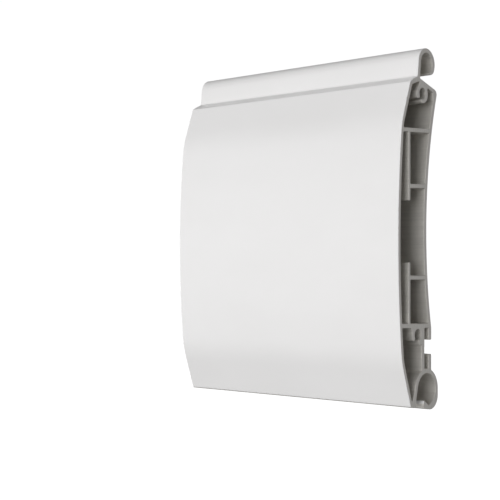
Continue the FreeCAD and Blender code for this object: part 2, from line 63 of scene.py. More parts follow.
def arc_points(p, q, centre, radius, clockwise):
    """Points from p to q on a circle, both ends included."""
    a0 = math.atan2(p[1] - centre[1], p[0] - centre[0])
    a1 = math.atan2(q[1] - centre[1], q[0] - centre[0])
    if clockwise:
        while a1 >= a0:
            a1 -= 2 * math.pi
    else:
        while a1 <= a0:
            a1 += 2 * math.pi
    span = abs(a1 - a0)
    steps = max(2, int(math.ceil(span / math.radians(5.0))), int(math.ceil(span * radius / 1.2)))
    out = []
    for k in range(steps + 1):
        a = a0 + (a1 - a0) * k / steps
        out.append((centre[0] + radius * math.cos(a), centre[1] + radius * math.sin(a)))
    out[0], out[-1] = p, q
    return out


def line_points(p, q):
    length = math.dist(p, q)
    steps = max(1, int(math.ceil(length / 1.2)))
    return [(p[0] + (q[0] - p[0]) * k / steps, p[1] + (q[1] - p[1]) * k / steps) for k in range(steps + 1)]


def run_length(points):
    return sum(math.dist(a, b) for a, b in zip(points, points[1:]))


def trimmed(points, cut):
    """The run without its first stretch of the given length."""
    left = cut
    for k in range(len(points) - 1):
        d = math.dist(points[k], points[k + 1])
        if d > left:
            t = left / d
            start = (points[k][0] + (points[k + 1][0] - points[k][0]) * t,
                     points[k][1] + (points[k + 1][1] - points[k][1]) * t)
            rest = points[k + 1:]
            if math.dist(start, rest[0]) < 1e-4:
                rest = rest[1:]
            return [start] + rest
        left -= d
    return [points[-1]]


def closed_outline(path, rounds, kinds=None):
    """path: (y, z) or (y, z, r, cy, cz, clockwise) per station, as runs to the
    next station. rounds: {station: radius}. kinds: one value per run.
    Returns [(y, z)] and, for each point, the kind of the run it starts."""
    count = len(path)
    runs = []
    for i, entry in enumerate(path):
        p, q = entry[:2], path[(i + 1) % count][:2]
        if len(entry) == 2:
            runs.append(line_points(tuple(p), tuple(q)))
        else:
            runs.append(arc_points(tuple(p), tuple(q), (entry[3], entry[4]), entry[2], entry[5]))
    lengths = [run_length(r) for r in runs]
    corners = {}
    for i in range(count):
        radius = rounds.get(i, 0.0)
        if radius <= 0:
            continue
        before, after = runs[i - 1], runs[i]
        u = (before[-1][0] - before[-2][0], before[-1][1] - before[-2][1])
        v = (after[1][0] - after[0][0], after[1][1] - after[0][1])
        turn = abs(math.atan2(u[0] * v[1] - u[1] * v[0], u[0] * v[0] + u[1] * v[1]))
        reach = min(radius * math.tan(turn / 2), 0.46 * lengths[i - 1], 0.46 * lengths[i])
        corners[i] = (path[i][:2], reach, turn)
    for i, (corner, reach, turn) in corners.items():
        runs[i] = trimmed(runs[i], reach)
        runs[i - 1] = trimmed(runs[i - 1][::-1], reach)[::-1]
    points, sort = [], []
    for i in range(count):
        kind = kinds[i] if kinds else 0
        if i in corners:
            corner, reach, turn = corners[i]
            a, b = runs[i - 1][-1], runs[i][0]
            steps = max(3, int(math.ceil(math.degrees(turn) / 14.0)))
            previous = kinds[i - 1] if kinds else 0
            # circle through both ends, tangent there
            weight = math.cos(turn / 2)
            for k in range(steps):
                t = k / steps
                w = 2 * t * (1 - t) * weight
                s = (1 - t) ** 2 + w + t * t
                points.append((((1 - t) ** 2 * a[0] + w * corner[0] + t * t * b[0]) / s,
                               ((1 - t) ** 2 * a[1] + w * corner[1] + t * t * b[1]) / s))
                sort.append(previous if t < 0.5 else kind)
        body = runs[i][:-1]
        points.extend(body)
        sort.extend([kind] * len(body))
    keep, kept = [], []
    for p, k in zip(points, sort):
        if not keep or math.dist(p, keep[-1]) > 2e-3:
            keep.append(p)
            kept.append(k)
    if math.dist(keep[0], keep[-1]) < 2e-3:
        keep.pop()
        kept.pop()
    return keep, kept


def turned_area(points):
    return 0.5 * sum(a[0] * b[1] - b[0] * a[1] for a, b in zip(points, points[1:] + points[:1]))


def inset(points, amount):
    """Outline moved to its left by amount, so inwards if it runs anticlockwise."""
    n = len(points)
    out = []
    for i in range(n):
        a, b, c = points[i - 1], points[i], points[(i + 1) % n]
        u = Vector((b[0] - a[0], b[1] - a[1])).normalized()
        v = Vector((c[0] - b[0], c[1] - b[1])).normalized()
        m = Vector((-u.y - v.y, u.x + v.x))
        if m.length < 1e-6:
            m = Vector((-u.y, u.x))
        m.normalize()
        grow = 1.0 / max(0.5, m.dot(Vector((-u.y, u.x))))
        out.append((b[0] + m.x * amount * grow, b[1] + m.y * amount * grow))
    return out


# ------------------------------------------------------------ slat section
FC = (333.0 - 15.63, -55.1)      # centre of the bowed front
BC = (155.3 - 0.2, -51.7)        # centre of the hollow back
FR, BR = 333.0, 155.3


def front(z, wall=0.0):
    return on_bow(FC[0], FC[1], FR - wall, z)


def back(z, wall=0.0):
    return on_bow(BC[0], BC[1], BR + wall, z)


SZ = -100.0
hook_start = (-4.6 * cosd(7), 4.6 * sind(7))
hook_inside = (-3.2 * cosd(7), 3.2 * sind(7))
tip_inner = (3.2 * cosd(58), -3.2 * sind(58))
tip_outer = (4.6 * cosd(36), -4.6 * sind(36))
arm_reach = BC[0] - 2.63
arm_top = BC[1] - math.sqrt(BR * BR - arm_reach * arm_reach)
arm_foot = SZ + math.sqrt(6.42 ** 2 - 2.63 ** 2)
heel_y = 6.42 - 4.2
heel_end = (heel_y + 4.2 * cosd(98), -102.1 - 4.2 * sind(98))
lip_root_z = SZ - math.sqrt(25.0 - 1.06 ** 2)
leg_start = (-5.0 * cosd(7), SZ + 5.0 * sind(7))

C, B = 1, 0    # coated, bare
outer_path = [
    (-5.15, -4.62),
    (hook_start[0], hook_start[1], 4.6, 0.0, 0.0, True),
    tip_outer,
    (2.42, -3.36),
    (tip_inner[0], tip_inner[1], 3.2, 0.0, 0.0, False),
    hook_inside,
    (-3.76, -5.0),
    (back(-7.95), -7.95, BR, BC[0], BC[1], False),
    (2.63, arm_top),
    (2.63, -84.82),
    (1.0, -84.82),
    (1.0, -81.1),
    (-1.26, -81.1),
    (-1.26, -93.6),
    (1.0, -93.6),
    (1.0, -89.15),
    (2.63, -89.15),
    (2.63, arm_foot, 6.42, 0.0, SZ, True),
    (6.42, SZ),
    (6.42, -102.1, 4.2, heel_y, -102.1, True),
    heel_end,
    (-1.7, -105.8),
    (-1.7, -104.75),
    (-1.7, -102.93),
    (1.06, lip_root_z, 5.0, 0.0, SZ, False),
    leg_start,
    (-5.8, -102.6),
    (-5.8, -105.2),
    (-8.85, -104.85),
    (front(-91.0), -91.0, FR, FC[0], FC[1], True),
    (front(-19.2), -19.2),
    (-9.12, -6.6),
    (-7.05, -5.42),
]
outer_kinds = [C, C, C, B, B, B, C, C, C, B, B, B, B, B, B, B, C, C, C, C, B, B, C, B, B, B, B, B, C, C, C, C, C]
outer_rounds = {0: 0.7, 32: 2.5, 2: 0.5, 3: 0.4, 4: 0.15, 6: 0.45, 7: 1.5, 8: 0.6, 9: 0.4, 10: 0.4, 11: 0.2, 12: 0.3, 13: 0.3,
                14: 0.2, 15: 0.4, 16: 0.4, 17: 0.5, 21: 0.35, 23: 0.45, 24: 0.25, 26: 0.5, 27: 0.4, 28: 0.75,
                29: 26.0, 30: 26.0, 31: 0.45}

UY, UZ = -2.3, -9.55
LY, LZ = -4.95, -83.05


def up(dy, dz):
    return (UY + dy, UZ + dz)


def lo(dy, dz):
    return (LY + dy, LZ + dz)


def ring_point(cy, cz, r, a):
    return (cy + r * cosd(a), cz + r * sind(a))


def arc_from(p, r, cy, cz, clockwise):
    return (p[0], p[1], r, cy, cz, clockwise)


top_path = [
    up(-1.4, 3.72), up(-5.73, 2.14),
    arc_from((front(-19.5, 1.22), -19.5), FR - 1.22, FC[0], FC[1], False),
    (front(-20.77, 1.22), -20.77),
    arc_from((back(-20.0, 1.45), -20.0), BR + 1.45, BC[0], BC[1], True),
    (back(UZ - 1.4, 1.45), UZ - 1.4),
    up(5.85, 1.0), up(2.95, 1.95),
    arc_from(ring_point(UY, UZ, 2.95, 30), 2.95, UY, UZ, True),
    ring_point(UY, UZ, 2.95, -105), up(-1.05, -2.2),
    arc_from(ring_point(UY, UZ, 1.75, -110), 1.75, UY, UZ, False),
    ring_point(UY, UZ, 1.75, 205), up(-1.65, -1.6), up(-3.15, -1.6), up(-3.4, -0.65), up(-3.2, 0.65), up(-2.1, 2.3),
]
top_rounds = {0: 0.3, 1: 0.3, 2: 12.0, 3: 0.3, 4: 0.3, 5: 1.5, 6: 0.4, 7: 0.25, 8: 0.4, 9: 0.35, 10: 0.35, 11: 0.15, 12: 0.6,
              13: 0.3, 14: 0.4, 15: 0.8, 16: 0.8, 17: 0.8}
upper_cell_path = [
    (-9.08, -21.88), (-9.08, -37.48),
    arc_from((back(-37.12, 1.45), -37.12), BR + 1.45, BC[0], BC[1], True),
    (back(-21.25, 1.45), -21.25),
]
middle_path = [
    arc_from((front(-22.06, 1.22), -22.06), FR - 1.22, FC[0], FC[1], False),
    (front(-79.39, 1.22), -79.39),
    (-10.15, -79.5), (-10.15, -61.1), (-9.08, -61.1), (-9.08, -65.05),
    arc_from((back(-65.05, 1.45), -65.05), BR + 1.45, BC[0], BC[1], True),
    (back(-38.35, 1.45), -38.35),
    (-9.08, -38.75), (-9.08, -42.5), (-10.15, -42.5), (-10.15, -21.88),
]
lower_cell_path = [
    (-9.08, -66.3), (-9.08, -79.5),
    arc_from((back(-79.83, 1.45), -79.83), BR + 1.45, BC[0], BC[1], True),
    (back(-66.3, 1.45), -66.3),
]
wall_foot = SZ + math.sqrt(6.45 ** 2 - 2.85 ** 2)
bottom_path = [
    arc_from((front(-80.73, 1.22), -80.73), FR - 1.22, FC[0], FC[1], False),
    (front(-90.7, 1.22), -90.7),
    (-8.42, SZ - 2.45), (-8.05, SZ - 3.1), (-7.6, SZ - 2.7), (-6.9, SZ - 1.3),
    arc_from((-6.45, SZ), 6.45, 0.0, SZ, True),
    (-2.85, wall_foot), (-2.85, LZ - 3.0), lo(0.75, -3.15),
    arc_from(ring_point(LY, LZ, 1.75, 285), 1.75, LY, LZ, False),
    ring_point(LY, LZ, 1.75, 216), lo(-1.9, -1.95), lo(-2.7, -1.6), lo(-3.05, -0.3), lo(-3.2, 1.1), (LY - 3.9, -80.9),
]
bottom_rounds = {0: 0.3, 1: 12.0, 2: 0.5, 3: 0.25, 4: 0.6, 5: 2.0, 6: 1.5, 7: 0.3, 8: 0.25, 9: 0.25, 10: 0.15, 11: 0.15,
                 12: 0.35, 13: 0.35, 14: 0.8, 15: 0.8, 16: 0.3}
hollows = []
for path, rounds in ((top_path, top_rounds),
                     (upper_cell_path, {0: 0.3, 1: 0.3, 2: 0.3, 3: 0.3}),
                     (middle_path, {0: 0.3, 1: 0.3, 2: 0.3, 3: 0.25, 4: 0.25, 5: 0.3, 6: 0.3, 7: 0.3, 8: 0.3, 9: 0.25, 10: 0.25, 11: 0.3}),
                     (lower_cell_path, {0: 0.3, 1: 0.3, 2: 0.3, 3: 0.3}),
                     (bottom_path, bottom_rounds)):
    hollows.append(closed_outline(path, rounds)[0])
outer_points, outer_sort = closed_outline(outer_path, outer_rounds, outer_kinds)

# all contours with the metal on their left: outside anticlockwise, hollows clockwise
if turned_area(outer_points) < 0:
    outer_points = outer_points[::-1]
    outer_sort = outer_sort[::-1]
    outer_sort = outer_sort[1:] + outer_sort[:1]
hollows = [h if turned_area(h) < 0 else h[::-1] for h in hollows]


def coat_amounts(points, sort):
    """1 on coated runs, 0 on bare ones, with a soft change over 0.35 mm."""
    n = len(points)
    step = [math.dist(points[i], points[(i + 1) % n]) for i in range(n)]
    raw = [float(s) for s in sort]
    out = []
    for i in range(n):
        total, weight = raw[i], 1.0
        for direction in (1, -1):
            d, j = 0.0, i
            while True:
                d += step[j] if direction == 1 else step[j - 1]
                j = (j + direction) % n
                if d > 0.35:
                    break
                w = (1 - d / 0.35)
                total += raw[j] * w
                weight += w
        out.append(total / weight)
    return out


def edge_amounts(points):
    """How sharply the outline bends outwards near each point, 0 to 1."""
    n = len(points)
    out = []
    for i in range(n):
        turn = 0.0
        for direction in (0, 1, -1):
            for reach in range(0, 4):
                j = (i + direction * reach) % n
                a, b, c = points[j - 1], points[j], points[(j + 1) % n]
                if math.dist(points[i], b) > 0.6:
                    break
                u = (b[0] - a[0], b[1] - a[1])
                v = (c[0] - b[0], c[1] - b[1])
                t = math.atan2(u[0] * v[1] - u[1] * v[0], u[0] * v[0] + u[1] * v[1])
                turn = max(turn, t * (1 - math.dist(points[i], b) / 0.6))
        out.append(max(0.0, min(1.0, turn / math.radians(14.0))))
    return out


# ------------------------------------------------------------ mesh helpers
def new_object(name, verts, faces, slots, materials, attributes=None, sharp=24.0):
    mesh = bpy.data.meshes.new(name)
    mesh.from_pydata([(x * MM, y * MM, z * MM) for x, y, z in verts], [], faces)
    for m in materials:
        mesh.materials.append(m)
    mesh.polygons.foreach_set("material_index", slots)
    mesh.update()
    for key, values in (attributes or {}).items():
        layer = mesh.attributes.new(key, "FLOAT", "POINT")
        layer.data.foreach_set("value", values)
    bm = bmesh.new()
    bm.from_mesh(mesh)
    bmesh.ops.recalc_face_normals(bm, faces=bm.faces)
    limit = math.radians(sharp)
    for e in bm.edges:
        if len(e.link_faces) == 2:
            e.smooth = e.calc_face_angle(0.0) < limit
    for f in bm.faces:
        f.smooth = True
    bm.to_mesh(mesh)
    bm.free()
    mesh.update()
    obj = bpy.data.objects.new(name, mesh)
    bpy.context.scene.collection.objects.link(obj)
    return obj


class Build:
    """Collects points, faces and their slots."""

    def __init__(self):
        self.verts, self.faces, self.slots = [], [], []
        self.extra = {}

    def loop(self, points, x, **values):
        start = len(self.verts)
        for i, (py, pz) in enumerate(points):
            self.verts.append((x, py, pz))
            for key, value in values.items():
                self.extra.setdefault(key, []).append(value[i] if isinstance(value, list) else value)
        return list(range(start, start + len(points)))

    def bridge(self, a, b, slot):
        n = len(a)
        for i in range(n):
            j = (i + 1) % n
            self.faces.append((a[i], a[j], b[j], b[i]))
            self.slots.append(slot[i] if isinstance(slot, list) else slot)

    def cap(self, loops, slot):
        flat = [i for l in loops for i in l]
        polygons = [[Vector((self.verts[i][1], self.verts[i][2], 0.0)) for i in l] for l in loops]
        for tri in tessellate_polygon(polygons):
            self.faces.append(tuple(flat[k] for k in tri))
            self.slots.append(slot)


# ------------------------------------------------------------ materials
def material(name):
    mat = bpy.data.materials.new(name)
    mat.use_nodes = True
    tree = mat.node_tree
    tree.nodes.clear()
    out = tree.nodes.new("ShaderNodeOutputMaterial")
    shader = tree.nodes.new("ShaderNodeBsdfPrincipled")
    tree.links.new(shader.outputs["BSDF"], out.inputs["Surface"])
    return mat, tree, shader


def node(tree, kind, **settings):
    made = tree.nodes.new(kind)
    for key, value in settings.items():
        if key in made.inputs:
            made.inputs[key].default_value = value
        else:
            setattr(made, key, value)
    return made


def place(tree, scale=(1.0, 1.0, 1.0), rotation=(0.0, 0.0, 0.0)):
    """Object coordinates, scaled. 1000 makes one unit a millimetre."""
    at = node(tree, "ShaderNodeTexCoord")
    mapped = node(tree, "ShaderNodeMapping")
    mapped.inputs["Scale"].default_value = scale
    mapped.inputs["Rotation"].default_value = rotation
    tree.links.new(at.outputs["Object"], mapped.inputs["Vector"])
    return mapped.outputs["Vector"]


def noise(tree, vector, scale, detail=2.0, rough=0.5, distortion=0.0):
    made = node(tree, "ShaderNodeTexNoise")
    made.inputs["Scale"].default_value = scale
    made.inputs["Detail"].default_value = detail
    made.inputs["Roughness"].default_value = rough
    made.inputs["Distortion"].default_value = distortion
    tree.links.new(vector, made.inputs["Vector"])
    return made.outputs["Fac"]


def spread(tree, value, a, b, c, d, smooth=False):
    made = node(tree, "ShaderNodeMapRange")
    made.interpolation_type = "SMOOTHSTEP" if smooth else "LINEAR"
    for key, number in (("From Min", a), ("From Max", b), ("To Min", c), ("To Max", d)):
        made.inputs[key].default_value = number
    tree.links.new(value, made.inputs["Value"])
    return made.outputs["Result"]


def maths(tree, operation, a, b=None, clamp=False):
    made = node(tree, "ShaderNodeMath", operation=operation)
    made.use_clamp = clamp
    for socket, value in ((0, a), (1, b)):
        if value is None:
            continue
        if isinstance(value, (int, float)):
            made.inputs[socket].default_value = value
        else:
            tree.links.new(value, made.inputs[socket])
    return made.outputs[0]


def blend_colour(tree, factor, a, b):
    made = node(tree, "ShaderNodeMix", data_type="RGBA")
    tree.links.new(factor, made.inputs["Factor"])
    for socket, value in (("A", a), ("B", b)):
        target = [s for s in made.inputs if s.name == socket and s.type == "RGBA"][0]
        if isinstance(value, tuple):
            target.default_value = value + (1.0,)
        else:
            tree.links.new(value, target)
    return [s for s in made.outputs if s.type == "RGBA"][0]


def blend_value(tree, factor, a, b):
    made = node(tree, "ShaderNodeMix", data_type="FLOAT")
    tree.links.new(factor, made.inputs["Factor"])
    for socket, value in (("A", a), ("B", b)):
        target = [s for s in made.inputs if s.name == socket and s.type == "VALUE"][0]
        if isinstance(value, (int, float)):
            target.default_value = value
        else:
            tree.links.new(value, target)
    return [s for s in made.outputs if s.type == "VALUE"][0]


def bump(tree, height, distance, strength=1.0, normal=None):
    made = node(tree, "ShaderNodeBump")
    made.inputs["Strength"].default_value = strength
    made.inputs["Distance"].default_value = distance
    tree.links.new(height, made.inputs["Height"])
    if normal is not None:
        tree.links.new(normal, made.inputs["Normal"])
    return made.outputs["Normal"]


COAT_LIGHT, COAT_DARK = (0.855, 0.848, 0.846), (0.833, 0.826, 0.822)
BARE_LIGHT, BARE_DARK = (0.76, 0.737, 0.692), (0.654, 0.634, 0.594)
CUT_LIGHT, CUT_DARK = (0.855, 0.831, 0.79), (0.748, 0.727, 0.691)


def bare_nodes(tree):
    """Mill finish: streaks and die lines along the extrusion."""
    streaks = noise(tree, place(tree, (40.0, 2600.0, 2600.0)), 1.0, 4.0, 0.6)
    lines = noise(tree, place(tree, (12.0, 9000.0, 9000.0)), 1.0, 2.0, 0.5)
    cloud = noise(tree, place(tree, (160.0, 160.0, 160.0)), 1.0, 3.0, 0.55)
    tone = maths(tree, "ADD", maths(tree, "MULTIPLY", streaks, 0.6), maths(tree, "MULTIPLY", cloud, 0.4))
    colour = blend_colour(tree, spread(tree, tone, 0.35, 0.65, 0.0, 1.0), BARE_DARK, BARE_LIGHT)
    rough = spread(tree, streaks, 0.3, 0.7, 0.42, 0.58)
    height = maths(tree, "ADD", maths(tree, "MULTIPLY", streaks, 0.7), maths(tree, "MULTIPLY", lines, 0.3))
    return colour, rough, height


def coat_nodes(tree):
    """Satin powder coat: faint orange peel and cloudiness."""
    peel = noise(tree, place(tree, (1000.0, 1000.0, 1000.0)), 0.75, 2.0, 0.45)
    grain = noise(tree, place(tree, (1000.0, 1000.0, 1000.0)), 6.0, 2.0, 0.6)
    cloud = noise(tree, place(tree, (30.0, 60.0, 60.0)), 1.0, 3.0, 0.5)
    colour = blend_colour(tree, spread(tree, cloud, 0.3, 0.7, 0.0, 1.0), COAT_DARK, COAT_LIGHT)
    rough = maths(tree, "ADD", spread(tree, cloud, 0.3, 0.7, 0.31, 0.35), maths(tree, "MULTIPLY", grain, 0.06))
    height = maths(tree, "ADD", maths(tree, "MULTIPLY", peel, 0.8), maths(tree, "MULTIPLY", grain, 0.2))
    return colour, rough, height


def slat_surface():
    """Coat that thins out into bare metal where the attribute says so, and is
    worn off in specks along the sharp edges and beside the saw cuts."""
    mat, tree, shader = material("slat_surface")
    link = tree.links.new
    coat_c, coat_r, coat_h = coat_nodes(tree)
    bare_c, bare_r, bare_h = bare_nodes(tree)
    amount = node(tree, "ShaderNodeAttribute", attribute_name="coat").outputs["Fac"]
    edge = node(tree, "ShaderNodeAttribute", attribute_name="edge").outputs["Fac"]
    ragged = noise(tree, place(tree, (600.0, 1400.0, 1400.0)), 1.0, 4.0, 0.6)
    mask = spread(tree, maths(tree, "ADD", amount, maths(tree, "MULTIPLY", maths(tree, "SUBTRACT", ragged, 0.5), 0.8)),
                  0.42, 0.58, 0.0, 1.0, True)
    # chips beside the saw cuts
    at = node(tree, "ShaderNodeTexCoord")
    parts = node(tree, "ShaderNodeSeparateXYZ")
    link(at.outputs["Object"], parts.inputs["Vector"])
    along = maths(tree, "ABSOLUTE", parts.outputs["X"])
    near_cut = spread(tree, along, (HALF - 0.55) * MM, HALF * MM, 0.0, 1.0)
    # painted shade: the bare metal is darkened in a strip along the lower edge of the socket's lip, which faces down
    # away from the light
    beside = maths(tree, "ABSOLUTE", maths(tree, "ADD", parts.outputs["Y"], 1.7 * MM))
    lip_shade_mask = maths(tree, "MULTIPLY", spread(tree, parts.outputs["Z"], -104.65 * MM, -104.95 * MM, 0.0, 1.0),
                  spread(tree, beside, 0.6 * MM, 0.35 * MM, 0.0, 1.0))
    bare_c = blend_colour(tree, lip_shade_mask, bare_c, (0.54, 0.525, 0.495))
    chips = noise(tree, place(tree, (1000.0, 1000.0, 1000.0)), 1.7, 3.0, 0.65)
    chipped = spread(tree, maths(tree, "ADD", chips, maths(tree, "MULTIPLY", near_cut, 0.22)), 0.80, 0.84, 0.0, 1.0)
    # rubbed long edges
    rub = noise(tree, place(tree, (220.0, 900.0, 900.0)), 1.0, 5.0, 0.65)
    rubbed = maths(tree, "MULTIPLY", spread(tree, rub, 0.62, 0.72, 0.0, 1.0), edge)
    gone = maths(tree, "MAXIMUM", chipped, maths(tree, "MULTIPLY", rubbed, 0.25))
    mask = maths(tree, "MULTIPLY", mask, maths(tree, "SUBTRACT", 1.0, gone))
    # painted highlight: the coat is made lighter along the convex edges and the broken edges at the saw cuts
    highlit_coat_c = blend_colour(tree, maths(tree, "MULTIPLY", edge, 0.35), coat_c, (0.87, 0.866, 0.862))
    link(blend_colour(tree, mask, bare_c, highlit_coat_c), shader.inputs["Base Color"])
    link(blend_value(tree, mask, 0.55, 0.0), shader.inputs["Metallic"])
    link(blend_value(tree, mask, bare_r, coat_r), shader.inputs["Roughness"])
    coat_n = bump(tree, coat_h, 0.000012, 0.35)
    bare_n = bump(tree, bare_h, 0.00001, 0.5)
    mix = node(tree, "ShaderNodeMix", data_type="VECTOR")
    link(mask, mix.inputs["Factor"])
    link(bare_n, [s for s in mix.inputs if s.name == "A" and s.type == "VECTOR"][0])
    link(coat_n, [s for s in mix.inputs if s.name == "B" and s.type == "VECTOR"][0])
    lip = bump(tree, mask, 0.00005, 0.5, [s for s in mix.outputs if s.type == "VECTOR"][0])
    link(lip, shader.inputs["Normal"])
    shader.inputs["IOR"].default_value = 1.5
    return mat


def cut_metal():
    """Sawn face: shallow arcs of the saw blade and fine scratches."""
    mat, tree, shader = material("saw_cut")
    link = tree.links.new
    at = node(tree, "ShaderNodeTexCoord")
    moved = node(tree, "ShaderNodeMapping")
    moved.inputs["Location"].default_value = (0.0, 0.19, 0.03)
    link(at.outputs["Object"], moved.inputs["Vector"])
    wave = node(tree, "ShaderNodeTexWave", wave_type="RINGS", rings_direction="X", wave_profile="SAW")
    wave.inputs["Scale"].default_value = 260.0
    wave.inputs["Distortion"].default_value = 1.2
    wave.inputs["Detail"].default_value = 2.0
    wave.inputs["Detail Scale"].default_value = 3.0
    link(moved.outputs["Vector"], wave.inputs["Vector"])
    fine = noise(tree, place(tree, (1000.0, 900.0, 2600.0), (0.35, 0.0, 0.0)), 3.0, 3.0, 0.6)
    cloud = noise(tree, place(tree, (1000.0, 1000.0, 1000.0)), 0.12, 3.0, 0.5)
    tone = maths(tree, "ADD", maths(tree, "MULTIPLY", wave.outputs["Fac"], 0.18),
                 maths(tree, "ADD", maths(tree, "MULTIPLY", fine, 0.3), maths(tree, "MULTIPLY", cloud, 0.52)))
    link(blend_colour(tree, spread(tree, tone, 0.3, 0.7, 0.0, 1.0), CUT_DARK, CUT_LIGHT), shader.inputs["Base Color"])
    link(spread(tree, fine, 0.3, 0.7, 0.5, 0.64), shader.inputs["Roughness"])
    height = maths(tree, "ADD", maths(tree, "MULTIPLY", wave.outputs["Fac"], 0.6), maths(tree, "MULTIPLY", fine, 0.4))
    link(bump(tree, height, 0.000008, 0.4), shader.inputs["Normal"])
    shader.inputs["Metallic"].default_value = 0.15
    return mat


def coat_edge():
    """Section of the coat at the saw cut."""
    mat, tree, shader = material("coat_section")
    link = tree.links.new
    cloud = noise(tree, place(tree, (1000.0, 1000.0, 1000.0)), 1.2, 3.0, 0.6)
    link(blend_colour(tree, spread(tree, cloud, 0.3, 0.7, 0.0, 1.0), (0.62, 0.615, 0.60), (0.74, 0.735, 0.725)),
         shader.inputs["Base Color"])
    link(spread(tree, cloud, 0.3, 0.7, 0.6, 0.75), shader.inputs["Roughness"])
    link(bump(tree, cloud, 0.00001, 0.3), shader.inputs["Normal"])
    return mat


def nylon():
    """Moulded nylon, spark-eroded grain."""
    mat, tree, shader = material("moulded_nylon")
    link = tree.links.new
    grain = noise(tree, place(tree, (1000.0, 1000.0, 1000.0)), 5.0, 3.0, 0.6)
    cloud = noise(tree, place(tree, (1000.0, 1000.0, 1000.0)), 0.09, 3.0, 0.5)
    flow = noise(tree, place(tree, (300.0, 260.0, 60.0), (0.3, 0.0, 0.0)), 1.0, 3.0, 0.6, 1.2)
    tone = maths(tree, "ADD", maths(tree, "MULTIPLY", cloud, 0.6), maths(tree, "MULTIPLY", flow, 0.4))
    base = blend_colour(tree, spread(tree, tone, 0.3, 0.7, 0.0, 1.0), (0.022, 0.022, 0.024), (0.040, 0.040, 0.043))
    edge = node(tree, "ShaderNodeAttribute", attribute_name="edge").outputs["Fac"]
    worn = maths(tree, "MULTIPLY", edge, spread(tree, noise(tree, place(tree, (1000.0, 1000.0, 1000.0)), 0.6, 4.0, 0.6), 0.45, 0.7, 0.0, 0.6))
    link(blend_colour(tree, worn, base, (0.085, 0.085, 0.09)), shader.inputs["Base Color"])
    link(maths(tree, "ADD", spread(tree, grain, 0.3, 0.7, 0.42, 0.56), maths(tree, "MULTIPLY", worn, -0.1)), shader.inputs["Roughness"])
    link(bump(tree, grain, 0.00003, 0.35), shader.inputs["Normal"])
    return mat


def zinc():
    """Bright zinc plate with a faint blue and yellow cast."""
    mat, tree, shader = material("zinc_plate")
    link = tree.links.new
    cast = noise(tree, place(tree, (1000.0, 1000.0, 1000.0)), 0.5, 3.0, 0.55)
    fine = noise(tree, place(tree, (1000.0, 1000.0, 1000.0)), 8.0, 3.0, 0.6)
    link(blend_colour(tree, spread(tree, cast, 0.35, 0.65, 0.0, 1.0), (0.62, 0.64, 0.68), (0.70, 0.685, 0.63)),
         shader.inputs["Base Color"])
    link(spread(tree, fine, 0.3, 0.7, 0.22, 0.36), shader.inputs["Roughness"])
    link(bump(tree, fine, 0.000008, 0.4), shader.inputs["Normal"])
    shader.inputs["Metallic"].default_value = 1.0
    return mat


SURFACE, CUT, SECTION = slat_surface(), cut_metal(), coat_edge()
NYLON, ZINC = nylon(), zinc()

# ------------------------------------------------------------ slat
build = Build()
coat_at = coat_amounts(outer_points, outer_sort)
edge_at = edge_amounts(outer_points)
stations = [-HALF + DEBURR] + [-45.0, -30.0, -15.0, 0.0, 15.0, 30.0, 45.0] + [HALF - DEBURR]
ring_slot = [1 if outer_sort[i] and outer_sort[(i + 1) % len(outer_sort)] else 0 for i in range(len(outer_sort))]
end_loops = {}
for contour_index, points in enumerate([outer_points] + hollows):
    outside = contour_index == 0
    coats = coat_at if outside else 0.0
    edges = edge_at if outside else 0.0
    broken = inset(points, DEBURR)
    loops = [build.loop(broken, -HALF, coat=coats, edge=1.0)]
    for x in stations:
        loops.append(build.loop(points, x, coat=coats, edge=edges))
    loops.append(build.loop(broken, HALF, coat=coats, edge=1.0))
    for k in range(len(loops) - 1):
        build.bridge(loops[k], loops[k + 1], 0)
    for x, loop in ((-HALF, loops[0]), (HALF, loops[-1])):
        if outside:
            skin = build.loop(inset(points, DEBURR + COAT_SKIN), x, coat=0.0, edge=0.0)
            build.bridge(loop, skin, [2 if s else 1 for s in ring_slot])
            loop = skin
        end_loops.setdefault(x, []).append(loop)
for x, loops in end_loops.items():
    build.cap(loops, 1)
slat = new_object("slat_profile", build.verts, build.faces, build.slots, [SURFACE, CUT, SECTION], build.extra)
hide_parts("slat_extrusion")
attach(slat, "root")

# ------------------------------------------------------------ end lock
def flange_at(z, gap=2.35):
    return on_bow(FC[0], FC[1], FR - gap, z)


def back_flange_at(z):
    return on_bow(BC[0], BC[1], BR + 0.3, z)


arm_flange = 2.33
socket_flange = 6.12
flange_path = [
    (-6.52, -7.8),
    (-3.76, -5.65),
    (back_flange_at(-8.75) - 0.6, -8.25),
    (back_flange_at(-9.75), -9.75, BR + 0.3, BC[0], BC[1], False),
    (back_flange_at(-81.1), -81.1),
    (arm_flange, -81.9),
    (arm_flange, SZ + math.sqrt(socket_flange ** 2 - arm_flange ** 2), socket_flange, 0.0, SZ, True),
    (math.sqrt(socket_flange ** 2 - 4.5 ** 2), SZ - 4.5),
    (-6.4, SZ - 4.5),
    (flange_at(-91.0), -91.0, FR - 2.35, FC[0], FC[1], True),
    (flange_at(-19.2), -19.2),
]
flange_outline, _ = closed_outline(flange_path, {0: 1.0, 1: 0.8, 2: 1.0, 3: 1.0, 4: 0.8, 5: 0.8, 6: 0.8, 7: 1.2, 8: 1.2, 9: 8.0, 10: 8.0})
if turned_area(flange_outline) < 0:
    flange_outline = flange_outline[::-1]
closing_path = [(-8.25, -7.2)] + flange_path[1:8] + [
    (-7.9, SZ - 4.4),
    (flange_at(-91.0, 1.0), -91.0, FR - 1.0, FC[0], FC[1], True),
    (flange_at(-19.2, 1.0), -19.2),
]
closing_outline, _ = closed_outline(closing_path, {0: 0.6, 1: 0.8, 2: 1.0, 3: 1.0, 4: 0.8, 5: 0.8, 6: 0.8, 7: 1.2, 8: 0.5, 9: 8.0, 10: 8.0})
if turned_area(closing_outline) < 0:
    closing_outline = closing_outline[::-1]


